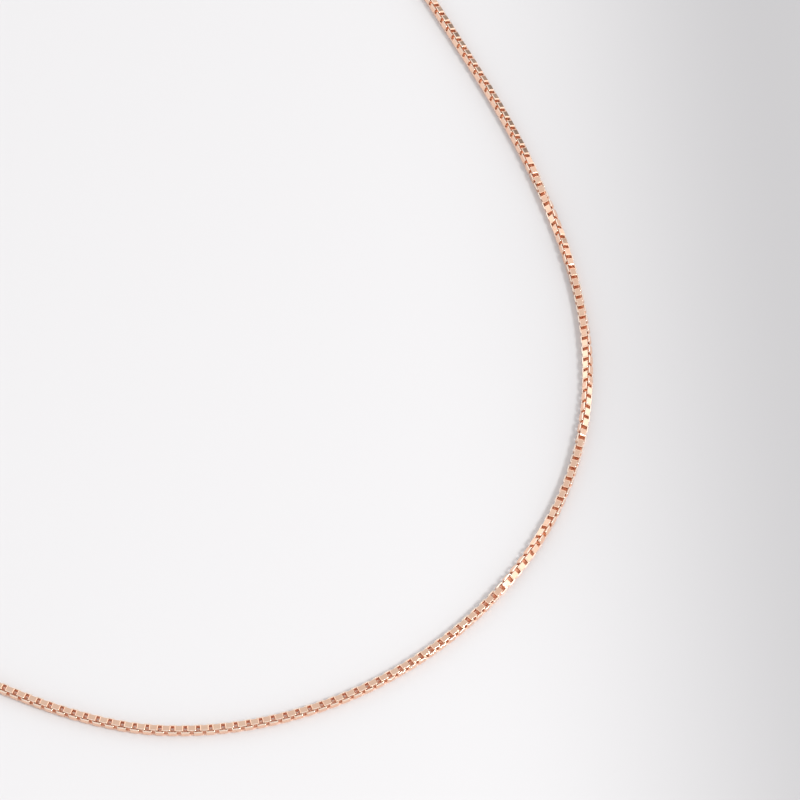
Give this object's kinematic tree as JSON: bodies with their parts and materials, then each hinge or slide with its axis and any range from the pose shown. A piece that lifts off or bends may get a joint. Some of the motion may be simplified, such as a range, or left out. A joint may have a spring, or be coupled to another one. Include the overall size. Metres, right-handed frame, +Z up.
{
  "type": "chain necklace",
  "caption": "Fine rose-gold box-chain necklace, laid open in a wide curve, with a lobster clasp and an end ring.",
  "frame": {"origin": "on the surface the necklace lies on, under the link at its front centre", "axes": "+Z up from the surface, +X to the wearer's left-hand end seen from the front, +Y from the front centre towards the open ends"},
  "size_m": [0.1349, 0.1864, 0.0024],
  "materials": {
    "rose_gold_chain": "polished rose-gold plating",
    "rose_gold_fittings": "polished rose-gold plating",
    "spring_steel": "spring steel"
  },
  "bodies": {
    "chain_left_26": {"chain_left_26": "rose_gold_chain"},
    "chain_left_25": {"chain_left_25": "rose_gold_chain"},
    "chain_left_24": {"chain_left_24": "rose_gold_chain"},
    "chain_left_23": {"chain_left_23": "rose_gold_chain"},
    "chain_left_22": {"chain_left_22": "rose_gold_chain"},
    "chain_left_21": {"chain_left_21": "rose_gold_chain"},
    "chain_left_20": {"chain_left_20": "rose_gold_chain"},
    "chain_left_19": {"chain_left_19": "rose_gold_chain"},
    "chain_left_18": {"chain_left_18": "rose_gold_chain"},
    "chain_left_17": {"chain_left_17": "rose_gold_chain"},
    "chain_left_16": {"chain_left_16": "rose_gold_chain"},
    "chain_left_15": {"chain_left_15": "rose_gold_chain"},
    "chain_left_14": {"chain_left_14": "rose_gold_chain"},
    "chain_left_13": {"chain_left_13": "rose_gold_chain"},
    "chain_left_12": {"chain_left_12": "rose_gold_chain"},
    "chain_left_11": {"chain_left_11": "rose_gold_chain"},
    "chain_left_10": {"chain_left_10": "rose_gold_chain"},
    "chain_left_09": {"chain_left_09": "rose_gold_chain"},
    "chain_left_08": {"chain_left_08": "rose_gold_chain"},
    "chain_left_07": {"chain_left_07": "rose_gold_chain"},
    "chain_left_06": {"chain_left_06": "rose_gold_chain"},
    "chain_left_05": {"chain_left_05": "rose_gold_chain"},
    "chain_left_04": {"chain_left_04": "rose_gold_chain"},
    "chain_left_03": {"chain_left_03": "rose_gold_chain"},
    "chain_left_02": {"chain_left_02": "rose_gold_chain"},
    "chain_left_01": {"chain_left_01": "rose_gold_chain"},
    "chain_front": {"chain_front": "rose_gold_chain"},
    "chain_right_01": {"chain_right_01": "rose_gold_chain"},
    "chain_right_02": {"chain_right_02": "rose_gold_chain"},
    "chain_right_03": {"chain_right_03": "rose_gold_chain"},
    "chain_right_04": {"chain_right_04": "rose_gold_chain"},
    "chain_right_05": {"chain_right_05": "rose_gold_chain"},
    "chain_right_06": {"chain_right_06": "rose_gold_chain"},
    "chain_right_07": {"chain_right_07": "rose_gold_chain"},
    "chain_right_08": {"chain_right_08": "rose_gold_chain"},
    "chain_right_09": {"chain_right_09": "rose_gold_chain"},
    "chain_right_10": {"chain_right_10": "rose_gold_chain"},
    "chain_right_11": {"chain_right_11": "rose_gold_chain"},
    "chain_right_12": {"chain_right_12": "rose_gold_chain"},
    "chain_right_13": {"chain_right_13": "rose_gold_chain"},
    "chain_right_14": {"chain_right_14": "rose_gold_chain"},
    "chain_right_15": {"chain_right_15": "rose_gold_chain"},
    "chain_right_16": {"chain_right_16": "rose_gold_chain"},
    "chain_right_17": {"chain_right_17": "rose_gold_chain"},
    "chain_right_18": {"chain_right_18": "rose_gold_chain"},
    "chain_right_19": {"chain_right_19": "rose_gold_chain"},
    "chain_right_20": {"chain_right_20": "rose_gold_chain"},
    "chain_right_21": {"chain_right_21": "rose_gold_chain"},
    "chain_right_22": {"chain_right_22": "rose_gold_chain"},
    "chain_right_23": {"chain_right_23": "rose_gold_chain"},
    "chain_right_24": {"chain_right_24": "rose_gold_chain"},
    "chain_right_25": {"chain_right_25": "rose_gold_chain"},
    "chain_right_26": {"chain_right_26": "rose_gold_chain"},
    "jump_ring_left": {"jump_ring_left": "rose_gold_fittings"},
    "jump_ring_right": {"jump_ring_right": "rose_gold_fittings"},
    "end_ring": {"end_ring": "rose_gold_fittings"},
    "clasp": {"clasp_body": "rose_gold_fittings", "clasp_pin": "rose_gold_fittings", "clasp_spring": "spring_steel"},
    "clasp_lever": {"clasp_lever": "rose_gold_fittings"}
  },
  "joints": [
    {"name": "bend_right_01", "type": "hinge", "parent": "chain_front", "child": "chain_right_01", "pos_m": [0.00402, 0.00016, 0.00068], "axis": [0, 0, 1], "range_deg": [-12, 12]},
    {"name": "bend_right_02", "type": "hinge", "parent": "chain_right_01", "child": "chain_right_02", "pos_m": [0.01197, 0.00139, 0.00068], "axis": [0.2163, -0.9763, 0], "range_deg": [-12, 12]},
    {"name": "bend_right_03", "type": "hinge", "parent": "chain_right_02", "child": "chain_right_03", "pos_m": [0.01966, 0.00374, 0.00068], "axis": [0, 0, -1], "range_deg": [-12, 12]},
    {"name": "bend_right_04", "type": "hinge", "parent": "chain_right_03", "child": "chain_right_04", "pos_m": [0.02696, 0.00712, 0.00068], "axis": [-0.4742, 0.8804, 0], "range_deg": [-12, 12]},
    {"name": "bend_right_05", "type": "hinge", "parent": "chain_right_04", "child": "chain_right_05", "pos_m": [0.03374, 0.01145, 0.00068], "axis": [0, 0, -1], "range_deg": [-12, 12]},
    {"name": "bend_right_06", "type": "hinge", "parent": "chain_right_05", "child": "chain_right_06", "pos_m": [0.0399, 0.01662, 0.00068], "axis": [-0.6852, 0.7283, 0], "range_deg": [-12, 12]},
    {"name": "bend_right_07", "type": "hinge", "parent": "chain_right_06", "child": "chain_right_07", "pos_m": [0.04536, 0.02253, 0.00077], "axis": [0.2167, -0.2063, 0.9542], "range_deg": [-12, 12]},
    {"name": "bend_right_08", "type": "hinge", "parent": "chain_right_07", "child": "chain_right_08", "pos_m": [0.05002, 0.02909, 0.00078], "axis": [0.5821, -0.3592, -0.7295], "range_deg": [-12, 12]},
    {"name": "bend_right_09", "type": "hinge", "parent": "chain_right_08", "child": "chain_right_09", "pos_m": [0.05376, 0.03621, 0.00071], "axis": [0.9079, -0.4059, 0.1045], "range_deg": [-12, 12]},
    {"name": "bend_right_10", "type": "hinge", "parent": "chain_right_09", "child": "chain_right_10", "pos_m": [0.05645, 0.04379, 0.00068], "axis": [0.011, -0.0102, 0.9999], "range_deg": [-12, 12]},
    {"name": "bend_right_11", "type": "hinge", "parent": "chain_right_10", "child": "chain_right_11", "pos_m": [0.05806, 0.05167, 0.00079], "axis": [-0.8371, 0.1175, 0.5343], "range_deg": [-12, 12]},
    {"name": "bend_right_12", "type": "hinge", "parent": "chain_right_11", "child": "chain_right_12", "pos_m": [0.05859, 0.05969, 0.00079], "axis": [-0.7803, 0.0117, -0.6253], "range_deg": [-12, 12]},
    {"name": "bend_right_13", "type": "hinge", "parent": "chain_right_12", "child": "chain_right_13", "pos_m": [0.05812, 0.06773, 0.00075], "axis": [0.2523, 0.02, -0.9674], "range_deg": [-12, 12]},
    {"name": "bend_right_14", "type": "hinge", "parent": "chain_right_13", "child": "chain_right_14", "pos_m": [0.05673, 0.07565, 0.00071], "axis": [0.9742, 0.2163, -0.0646], "range_deg": [-12, 12]},
    {"name": "bend_right_15", "type": "hinge", "parent": "chain_right_14", "child": "chain_right_15", "pos_m": [0.05467, 0.08343, 0.00079], "axis": [0.5356, 0.1633, 0.8285], "range_deg": [-12, 12]},
    {"name": "bend_right_16", "type": "hinge", "parent": "chain_right_15", "child": "chain_right_16", "pos_m": [0.0521, 0.09106, 0.00072], "axis": [-0.1649, -0.0258, 0.986], "range_deg": [-12, 12]},
    {"name": "bend_right_17", "type": "hinge", "parent": "chain_right_16", "child": "chain_right_17", "pos_m": [0.04914, 0.09854, 0.00079], "axis": [-0.8319, -0.3509, 0.4298], "range_deg": [-12, 12]},
    {"name": "bend_right_18", "type": "hinge", "parent": "chain_right_17", "child": "chain_right_18", "pos_m": [0.04582, 0.10588, 0.00079], "axis": [-0.4293, -0.205, -0.8796], "range_deg": [-12, 12]},
    {"name": "bend_right_19", "type": "hinge", "parent": "chain_right_18", "child": "chain_right_19", "pos_m": [0.04221, 0.11307, 0.00079], "axis": [0.7796, 0.4032, -0.4792], "range_deg": [-12, 12]},
    {"name": "bend_right_20", "type": "hinge", "parent": "chain_right_19", "child": "chain_right_20", "pos_m": [0.03847, 0.1202, 0.00078], "axis": [-0.3629, -0.193, -0.9116], "range_deg": [-12, 12]},
    {"name": "bend_right_21", "type": "hinge", "parent": "chain_right_20", "child": "chain_right_21", "pos_m": [0.03469, 0.12731, 0.00077], "axis": [-0.8378, -0.4436, 0.3182], "range_deg": [-12, 12]},
    {"name": "bend_right_22", "type": "hinge", "parent": "chain_right_21", "child": "chain_right_22", "pos_m": [0.031, 0.13446, 0.00074], "axis": [0.1724, 0.0905, 0.9809], "range_deg": [-12, 12]},
    {"name": "bend_right_23", "type": "hinge", "parent": "chain_right_22", "child": "chain_right_23", "pos_m": [0.0276, 0.14176, 0.00071], "axis": [0.9117, 0.3989, -0.0988], "range_deg": [-12, 12]},
    {"name": "bend_right_24", "type": "hinge", "parent": "chain_right_23", "child": "chain_right_24", "pos_m": [0.02461, 0.14923, 0.00069], "axis": [-0.0324, -0.0148, -0.9994], "range_deg": [-12, 12]},
    {"name": "bend_right_25", "type": "hinge", "parent": "chain_right_24", "child": "chain_right_25", "pos_m": [0.02204, 0.15686, 0.00068], "axis": [0.9542, 0.2993, -0.0007], "range_deg": [-12, 12]},
    {"name": "bend_right_26", "type": "hinge", "parent": "chain_right_25", "child": "chain_right_26", "pos_m": [0.01983, 0.1646, 0.00083], "axis": [0.0145, -0.0553, 0.9984], "range_deg": [-12, 12]},
    {"name": "bend_left_01", "type": "hinge", "parent": "chain_front", "child": "chain_left_01", "pos_m": [-0.00402, 0.00018, 0.00068], "axis": [0, 0, 1], "range_deg": [-12, 12]},
    {"name": "bend_left_02", "type": "hinge", "parent": "chain_left_01", "child": "chain_left_02", "pos_m": [-0.01192, 0.00169, 0.00068], "axis": [-0.2613, -0.9653, 0], "range_deg": [-12, 12]},
    {"name": "bend_left_03", "type": "hinge", "parent": "chain_left_02", "child": "chain_left_03", "pos_m": [-0.01953, 0.00428, 0.00068], "axis": [0, 0, -1], "range_deg": [-12, 12]},
    {"name": "bend_left_04", "type": "hinge", "parent": "chain_left_03", "child": "chain_left_04", "pos_m": [-0.02687, 0.00758, 0.00068], "axis": [0.4444, 0.8958, 0], "range_deg": [-12, 12]},
    {"name": "bend_left_05", "type": "hinge", "parent": "chain_left_04", "child": "chain_left_05", "pos_m": [-0.03391, 0.01148, 0.00068], "axis": [0, 0, -1], "range_deg": [-12, 12]},
    {"name": "bend_left_06", "type": "hinge", "parent": "chain_left_05", "child": "chain_left_06", "pos_m": [-0.04056, 0.01601, 0.00068], "axis": [0.5983, 0.8012, 0], "range_deg": [-12, 12]},
    {"name": "bend_left_07", "type": "hinge", "parent": "chain_left_06", "child": "chain_left_07", "pos_m": [-0.04671, 0.02119, 0.00068], "axis": [0.0062, 0.0045, 1], "range_deg": [-12, 12]},
    {"name": "bend_left_08", "type": "hinge", "parent": "chain_left_07", "child": "chain_left_08", "pos_m": [-0.05226, 0.02702, 0.0007], "axis": [-0.7553, -0.6526, 0.0605], "range_deg": [-12, 12]},
    {"name": "bend_left_09", "type": "hinge", "parent": "chain_left_08", "child": "chain_left_09", "pos_m": [-0.05715, 0.03341, 0.00073], "axis": [-0.1167, -0.0771, -0.9902], "range_deg": [-12, 12]},
    {"name": "bend_left_10", "type": "hinge", "parent": "chain_left_09", "child": "chain_left_10", "pos_m": [-0.06138, 0.04026, 0.00075], "axis": [-0.8506, -0.4789, 0.2171], "range_deg": [-12, 12]},
    {"name": "bend_left_11", "type": "hinge", "parent": "chain_left_10", "child": "chain_left_11", "pos_m": [-0.06497, 0.04746, 0.00077], "axis": [0.2649, 0.1173, 0.9571], "range_deg": [-12, 12]},
    {"name": "bend_left_12", "type": "hinge", "parent": "chain_left_11", "child": "chain_left_12", "pos_m": [-0.06792, 0.05495, 0.00078], "axis": [0.8786, 0.308, -0.3651], "range_deg": [-12, 12]},
    {"name": "bend_left_13", "type": "hinge", "parent": "chain_left_12", "child": "chain_left_13", "pos_m": [-0.07023, 0.06266, 0.00079], "axis": [0.4274, 0.1114, 0.8972], "range_deg": [-12, 12]},
    {"name": "bend_left_14", "type": "hinge", "parent": "chain_left_13", "child": "chain_left_14", "pos_m": [-0.07196, 0.07052, 0.00079], "axis": [-0.8405, -0.1591, 0.5179], "range_deg": [-12, 12]},
    {"name": "bend_left_15", "type": "hinge", "parent": "chain_left_14", "child": "chain_left_15", "pos_m": [-0.07321, 0.07847, 0.00079], "axis": [-0.5869, -0.0785, -0.8059], "range_deg": [-12, 12]},
    {"name": "bend_left_16", "type": "hinge", "parent": "chain_left_15", "child": "chain_left_16", "pos_m": [-0.07405, 0.08647, 0.00078], "axis": [0.7464, 0.0619, -0.6626], "range_deg": [-12, 12]},
    {"name": "bend_left_17", "type": "hinge", "parent": "chain_left_16", "child": "chain_left_17", "pos_m": [-0.07453, 0.09451, 0.00077], "axis": [0.7276, 0.0288, 0.6854], "range_deg": [-12, 12]},
    {"name": "bend_left_18", "type": "hinge", "parent": "chain_left_17", "child": "chain_left_18", "pos_m": [-0.0747, 0.10256, 0.00078], "axis": [0.6163, 0.0052, -0.7875], "range_deg": [-12, 12]},
    {"name": "bend_left_19", "type": "hinge", "parent": "chain_left_18", "child": "chain_left_19", "pos_m": [-0.07465, 0.11061, 0.00079], "axis": [-0.8397, 0.0127, -0.5429], "range_deg": [-12, 12]},
    {"name": "bend_left_20", "type": "hinge", "parent": "chain_left_19", "child": "chain_left_20", "pos_m": [-0.07448, 0.11865, 0.00079], "axis": [-0.4666, 0.0129, 0.8844], "range_deg": [-12, 12]},
    {"name": "bend_left_21", "type": "hinge", "parent": "chain_left_20", "child": "chain_left_21", "pos_m": [-0.07422, 0.1267, 0.00078], "axis": [-0.9205, 0.0332, -0.3894], "range_deg": [-12, 12]},
    {"name": "bend_left_22", "type": "hinge", "parent": "chain_left_21", "child": "chain_left_22", "pos_m": [-0.07389, 0.13474, 0.00077], "axis": [-0.3121, 0.0156, 0.9499], "range_deg": [-12, 12]},
    {"name": "bend_left_23", "type": "hinge", "parent": "chain_left_22", "child": "chain_left_23", "pos_m": [-0.0735, 0.14278, 0.00075], "axis": [0.9701, -0.048, 0.2377], "range_deg": [-12, 12]},
    {"name": "bend_left_24", "type": "hinge", "parent": "chain_left_23", "child": "chain_left_24", "pos_m": [-0.07309, 0.15082, 0.00073], "axis": [0.1662, -0.0112, -0.986], "range_deg": [-12, 12]},
    {"name": "bend_left_25", "type": "hinge", "parent": "chain_left_24", "child": "chain_left_25", "pos_m": [-0.07267, 0.15886, 0.00071], "axis": [0.9942, -0.0491, 0.096], "range_deg": [-12, 12]},
    {"name": "bend_left_26", "type": "hinge", "parent": "chain_left_25", "child": "chain_left_26", "pos_m": [-0.07231, 0.1669, 0.00084], "axis": [0.0293, 0.0534, -0.9981], "range_deg": [-12, 12]},
    {"name": "ring_right_swivel", "type": "hinge", "parent": "chain_right_26", "child": "jump_ring_right", "pos_m": [0.01806, 0.17212, 0.0012], "axis": [0, 0, 1], "range_deg": [-35, 35]},
    {"name": "end_ring_swivel", "type": "hinge", "parent": "jump_ring_right", "child": "end_ring", "pos_m": [0.01766, 0.17403, 0.0012], "axis": [0, 0, 1], "range_deg": [-35, 35]},
    {"name": "ring_left_swivel", "type": "hinge", "parent": "chain_left_26", "child": "jump_ring_left", "pos_m": [-0.07203, 0.17463, 0.0012], "axis": [0, 0, 1], "range_deg": [-35, 35]},
    {"name": "clasp_swivel", "type": "hinge", "parent": "jump_ring_left", "child": "clasp", "pos_m": [-0.07197, 0.17658, 0.0012], "axis": [0, 0, 1], "range_deg": [-35, 35]},
    {"name": "clasp_lever_open", "type": "hinge", "parent": "clasp", "child": "clasp_lever", "pos_m": [-0.07102, 0.17984, 0.0012], "axis": [0, 0, 1], "range_deg": [0, 25], "stiffness_Nm_per_rad": 0.00002, "deforming": ["clasp_spring"]}
  ]
}
